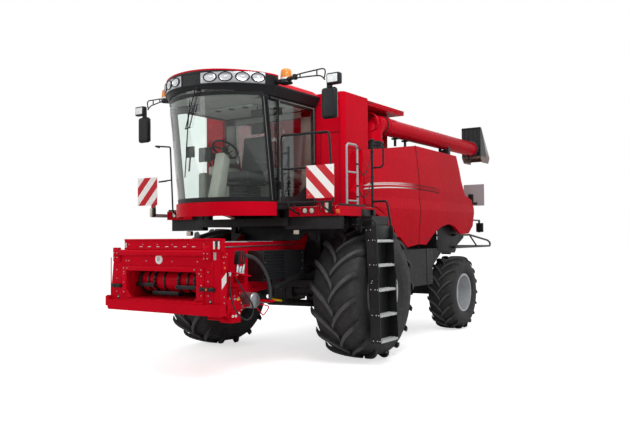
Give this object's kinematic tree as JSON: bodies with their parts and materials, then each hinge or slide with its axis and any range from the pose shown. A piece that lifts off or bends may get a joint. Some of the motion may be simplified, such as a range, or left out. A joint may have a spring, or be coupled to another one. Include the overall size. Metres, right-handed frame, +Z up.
{
  "type": "combine harvester",
  "caption": "Self-propelled grain harvester without its header: feeder, cab, grain tank with folding lids, unloading auger, straw chopper and steered rear axle.",
  "frame": {"origin": "on the ground, midway along the machine's length and on its centre line", "axes": "+X to the machine's left, +Y to its rear, +Z up"},
  "size_m": [3.905, 8.1848, 3.985],
  "materials": {
    "red_paint": "gloss",
    "black_paint": "satin",
    "grey_paint": "satin",
    "rim_silver": "satin",
    "tyre_rubber": "matte",
    "step_grey": "satin",
    "black_plastic": "matte",
    "seat_cloth": "matte",
    "tinted_glass": "gloss",
    "amber_lens": "gloss",
    "board_sheet": "satin",
    "chromed_rod": "polished"
  },
  "bodies": {
    "chassis": {"auger_supports": "black_paint", "beacons": "amber_lens", "boards_and_tail_lamps": "board_sheet", "cab_controls": "black_plastic", "cab_frame": "grey_paint", "cab_glass": "tinted_glass", "cab_roof": "red_paint", "cab_seats": "seat_cloth", "cab_skirt": "red_paint", "cab_visor": "black_plastic", "chassis_frame": "black_paint", "chopper_housing": "black_paint", "engine_and_cooler": "grey_paint", "engine_bay": "black_paint", "fenders": "red_paint", "front_axle": "black_paint", "fuel_tank": "black_paint", "grain_tank": "red_paint", "handrails": "black_paint", "ladder": "step_grey", "mirrors": "black_paint", "platforms": "red_paint", "rear_axle": "black_paint", "rear_hood": "red_paint", "spreader_guard": "black_paint", "threshing_body": "black_paint", "windscreen": "tinted_glass"},
    "wheel_front_left": {"tyre_front_left": "tyre_rubber", "rim_front_left": "rim_silver"},
    "wheel_front_right": {"tyre_front_right": "tyre_rubber", "rim_front_right": "rim_silver"},
    "knuckle_left": {"knuckle_left": "black_paint"},
    "knuckle_right": {"knuckle_right": "black_paint"},
    "wheel_rear_left": {"tyre_rear_left": "tyre_rubber", "rim_rear_left": "rim_silver"},
    "wheel_rear_right": {"tyre_rear_right": "tyre_rubber", "rim_rear_right": "rim_silver"},
    "tie_rod": {"tie_rod": "black_paint"},
    "feeder": {"feeder_housing": "black_paint", "feeder_face": "red_paint", "header_drive": "black_paint", "drive_shield": "black_plastic", "feeder_hose_loop": "black_plastic", "feeder_hose_bundle": "black_plastic"},
    "feeder_drum": {"feeder_drum": "red_paint"},
    "lift_barrels": {"lift_barrels": "black_paint"},
    "lift_rods": {"lift_rods": "chromed_rod"},
    "auger": {"auger_tube": "red_paint", "auger_spout": "black_plastic"},
    "cab_door": {"cab_door": "black_plastic", "cab_door_glass": "tinted_glass"},
    "tank_lid_left": {"tank_lid_left": "red_paint"},
    "tank_lid_right": {"tank_lid_right": "red_paint"},
    "side_panel_front_left": {"side_panel_front_left": "red_paint"},
    "side_panel_front_right": {"side_panel_front_right": "red_paint"},
    "side_panel_rear_left": {"side_panel_rear_left": "red_paint"},
    "side_panel_rear_right": {"side_panel_rear_right": "red_paint"},
    "air_screen": {"air_screen": "grey_paint"},
    "spreader_disc_left": {"spreader_disc_left": "black_paint"},
    "spreader_disc_right": {"spreader_disc_right": "black_paint"}
  },
  "joints": [
    {"name": "roll_front_left", "type": "hinge", "parent": "chassis", "child": "wheel_front_left", "pos_m": [1.385, -1.372, 0.945], "axis": [1, 0, 0], "continuous": true},
    {"name": "roll_front_right", "type": "hinge", "parent": "chassis", "child": "wheel_front_right", "pos_m": [-1.385, -1.372, 0.945], "axis": [1, 0, 0], "continuous": true},
    {"name": "steer_left", "type": "hinge", "parent": "chassis", "child": "knuckle_left", "pos_m": [0.95, 2.268, 0.68], "axis": [0, 0, 1], "range_deg": [-30, 30]},
    {"name": "steer_right", "type": "hinge", "parent": "chassis", "child": "knuckle_right", "pos_m": [-0.95, 2.268, 0.68], "axis": [0, 0, 1], "range_deg": [-30, 30]},
    {"name": "steer_rod", "type": "slide", "parent": "chassis", "child": "tie_rod", "axis": [1, 0, 0], "range_m": [-0.1, 0.1]},
    {"name": "roll_rear_left", "type": "hinge", "parent": "knuckle_left", "child": "wheel_rear_left", "pos_m": [1.22, 2.268, 0.68], "axis": [1, 0, 0], "continuous": true},
    {"name": "roll_rear_right", "type": "hinge", "parent": "knuckle_right", "child": "wheel_rear_right", "pos_m": [-1.22, 2.268, 0.68], "axis": [1, 0, 0], "continuous": true},
    {"name": "feeder_tilt", "type": "hinge", "parent": "chassis", "child": "feeder", "pos_m": [0, -1.672, 1.75], "axis": [1, 0, 0], "range_deg": [-3, 18]},
    {"name": "feeder_drum_turn", "type": "hinge", "parent": "feeder", "child": "feeder_drum", "pos_m": [0, -3.702, 1.2], "axis": [1, 0, 0], "continuous": true},
    {"name": "lift_barrel_tilt", "type": "hinge", "parent": "chassis", "child": "lift_barrels", "pos_m": [0, -1.452, 0.745], "axis": [1, 0, 0], "range_deg": [-2.7, 15.7]},
    {"name": "lift_rod_slide", "type": "slide", "parent": "lift_barrels", "child": "lift_rods", "axis": [0, -0.9939, 0.1101], "range_m": [-0.33, 0.06]},
    {"name": "auger_swing", "type": "hinge", "parent": "chassis", "child": "auger", "pos_m": [1.18, -0.682, 3.495], "axis": [0, -0.1045, -0.9945], "range_deg": [0, 95]},
    {"name": "cab_door_swing", "type": "hinge", "parent": "chassis", "child": "cab_door", "pos_m": [0.88, -2.747, 2.9], "axis": [0, 0, -1], "range_deg": [0, 80]},
    {"name": "tank_lid_left_lift", "type": "hinge", "parent": "chassis", "child": "tank_lid_left", "pos_m": [1.31, -0.472, 3.74], "axis": [0, 1, 0], "range_deg": [0, 95]},
    {"name": "tank_lid_right_lift", "type": "hinge", "parent": "chassis", "child": "tank_lid_right", "pos_m": [-1.31, -0.472, 3.74], "axis": [0, -1, 0], "range_deg": [0, 95]},
    {"name": "side_panel_front_left_lift", "type": "hinge", "parent": "chassis", "child": "side_panel_front_left", "pos_m": [1.3317, 0.424, 3.25], "axis": [0.0193, -0.9906, -0.1352], "range_deg": [0, 70]},
    {"name": "side_panel_front_right_lift", "type": "hinge", "parent": "chassis", "child": "side_panel_front_right", "pos_m": [-1.3317, 0.424, 3.25], "axis": [0.0193, 0.9906, 0.1352], "range_deg": [0, 70]},
    {"name": "side_panel_rear_left_lift", "type": "hinge", "parent": "chassis", "child": "side_panel_rear_left", "pos_m": [1.3317, 1.228, 3.25], "axis": [0, -1, 0], "range_deg": [0, 70]},
    {"name": "side_panel_rear_right_lift", "type": "hinge", "parent": "chassis", "child": "side_panel_rear_right", "pos_m": [-1.3317, 1.228, 3.25], "axis": [0, 1, 0], "range_deg": [0, 70]},
    {"name": "air_screen_turn", "type": "hinge", "parent": "chassis", "child": "air_screen", "pos_m": [-1.3, 1.268, 2.74], "axis": [1, 0, 0], "continuous": true},
    {"name": "spreader_left_turn", "type": "hinge", "parent": "chassis", "child": "spreader_disc_left", "pos_m": [0.34, 3.578, 1.41], "axis": [0, 0, 1], "continuous": true},
    {"name": "spreader_right_turn", "type": "hinge", "parent": "chassis", "child": "spreader_disc_right", "pos_m": [-0.34, 3.578, 1.41], "axis": [0, 0, 1], "continuous": true}
  ],
  "couplings": [
    {"joint": "steer_right", "follows": "steer_left", "ratio": 1},
    {"joint": "steer_rod", "follows": "steer_left", "m_per_rad": -0.176},
    {"joint": "lift_barrel_tilt", "follows": "feeder_tilt", "ratio": 0.865},
    {"joint": "lift_rod_slide", "follows": "feeder_tilt", "m_per_rad": -1.01}
  ]
}
